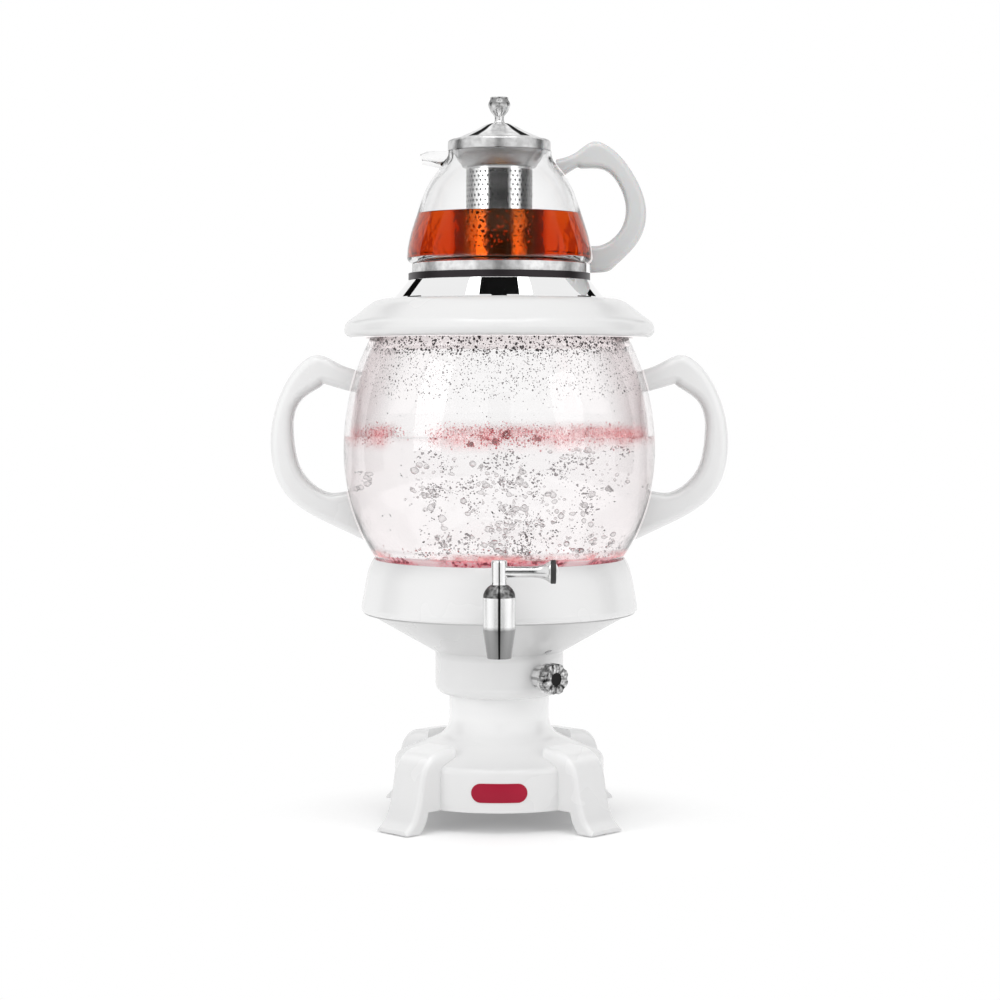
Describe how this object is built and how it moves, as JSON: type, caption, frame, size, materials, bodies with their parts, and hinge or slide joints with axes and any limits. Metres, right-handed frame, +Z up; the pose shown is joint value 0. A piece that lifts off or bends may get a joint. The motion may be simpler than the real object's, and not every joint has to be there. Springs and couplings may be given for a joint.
{
  "type": "electric glass samovar",
  "caption": "Footed electric samovar with a glass water globe, a plug tap, two side handles, a lift-off lid and a glass teapot with an infuser on top.",
  "frame": {"origin": "on the table under the centre of the body, where the vertical axis meets the plane of the foot pads", "axes": "+Z up, -Y the front with the tap, +X to the right as seen from the front"},
  "size_m": [0.324, 0.2424, 0.5098],
  "materials": {
    "white_shell": "glossy white moulded plastic",
    "white_handle": "glossy white moulded plastic",
    "grey_handle": "pale grey moulded plastic, slightly milky",
    "grey_plastic": "matte grey plastic",
    "black_plastic": "matte black plastic",
    "foot_rubber": "grey rubber",
    "black_rubber": "black rubber",
    "red_silicone": "translucent red silicone",
    "clear_silicone": "clear silicone",
    "lamp_lens": "grey lamp lens",
    "stainless": "stainless steel",
    "zinc_screw": "zinc plated steel",
    "cast_aluminium": "cast aluminium",
    "brass_plug": "turned brass",
    "chrome": "polished chrome plate",
    "clear_glass": "clear blown glass",
    "teapot_glass": "clear heat resistant glass"
  },
  "bodies": {
    "body": {"pedestal_base": "white_shell", "foot_pad_1": "foot_rubber", "foot_pad_2": "foot_rubber", "foot_pad_3": "foot_rubber", "foot_pad_4": "foot_rubber", "base_cover": "grey_plastic", "cover_screw_1": "zinc_screw", "cover_screw_2": "zinc_screw", "cover_screw_3": "zinc_screw", "cover_screw_4": "zinc_screw", "cord_gland": "black_rubber", "neck_housing": "white_shell", "indicator_lens": "lamp_lens", "tie_bolt": "zinc_screw", "tie_nut": "zinc_screw", "terminal_block": "grey_plastic", "thermostat_body": "grey_plastic", "cup_band": "white_shell", "tank_pan": "stainless", "heater_plate": "cast_aluminium", "heating_element": "stainless", "globe": "clear_glass", "globe_gasket": "red_silicone", "handle_right": "white_handle", "handle_left": "white_handle", "handle_bond_right_lower": "clear_silicone", "handle_bond_right_upper": "clear_silicone", "handle_bond_left_lower": "clear_silicone", "handle_bond_left_upper": "clear_silicone", "tap_body": "chrome", "tap_washer": "black_rubber", "tap_gasket": "clear_silicone", "tap_nut": "stainless", "tap_bonnet": "chrome"},
    "lid": {"lid_brim": "white_shell", "lid_seal": "clear_silicone", "teapot_stand": "chrome"},
    "teapot": {"teapot_cup": "stainless", "teapot_glass": "teapot_glass", "teapot_handle": "grey_handle", "teapot_bond_lower": "clear_silicone", "teapot_bond_upper": "clear_silicone"},
    "infuser": {"infuser_basket": "stainless"},
    "teapot_lid": {"teapot_lid": "stainless", "lid_finial": "chrome", "finial_screw": "zinc_screw"},
    "tap_plug": {"tap_plug": "brass_plug", "tap_lever": "chrome", "lever_end": "chrome"},
    "thermostat_knob": {"thermostat_shaft": "stainless", "thermostat_knob": "chrome", "knob_cap": "black_plastic"}
  },
  "joints": [
    {"name": "lid_lift", "type": "slide", "parent": "body", "child": "lid", "axis": [0, 0, 1], "range_m": [0, 0.09]},
    {"name": "teapot_lift", "type": "slide", "parent": "lid", "child": "teapot", "axis": [0, 0, 1], "range_m": [0, 0.06]},
    {"name": "infuser_lift", "type": "slide", "parent": "teapot", "child": "infuser", "axis": [0, 0, 1], "range_m": [0, 0.09]},
    {"name": "teapot_lid_lift", "type": "slide", "parent": "infuser", "child": "teapot_lid", "axis": [0, 0, 1], "range_m": [0, 0.06]},
    {"name": "tap_turn", "type": "hinge", "parent": "body", "child": "tap_plug", "pos_m": [0, -0.121, 0.18], "axis": [0, 0, 1], "range_deg": [-90, 0]},
    {"name": "thermostat_turn", "type": "hinge", "parent": "body", "child": "thermostat_knob", "pos_m": [0.03735, -0.04696, 0.1039], "axis": [0.6225, -0.7826, 0], "range_deg": [-270, 0]}
  ]
}
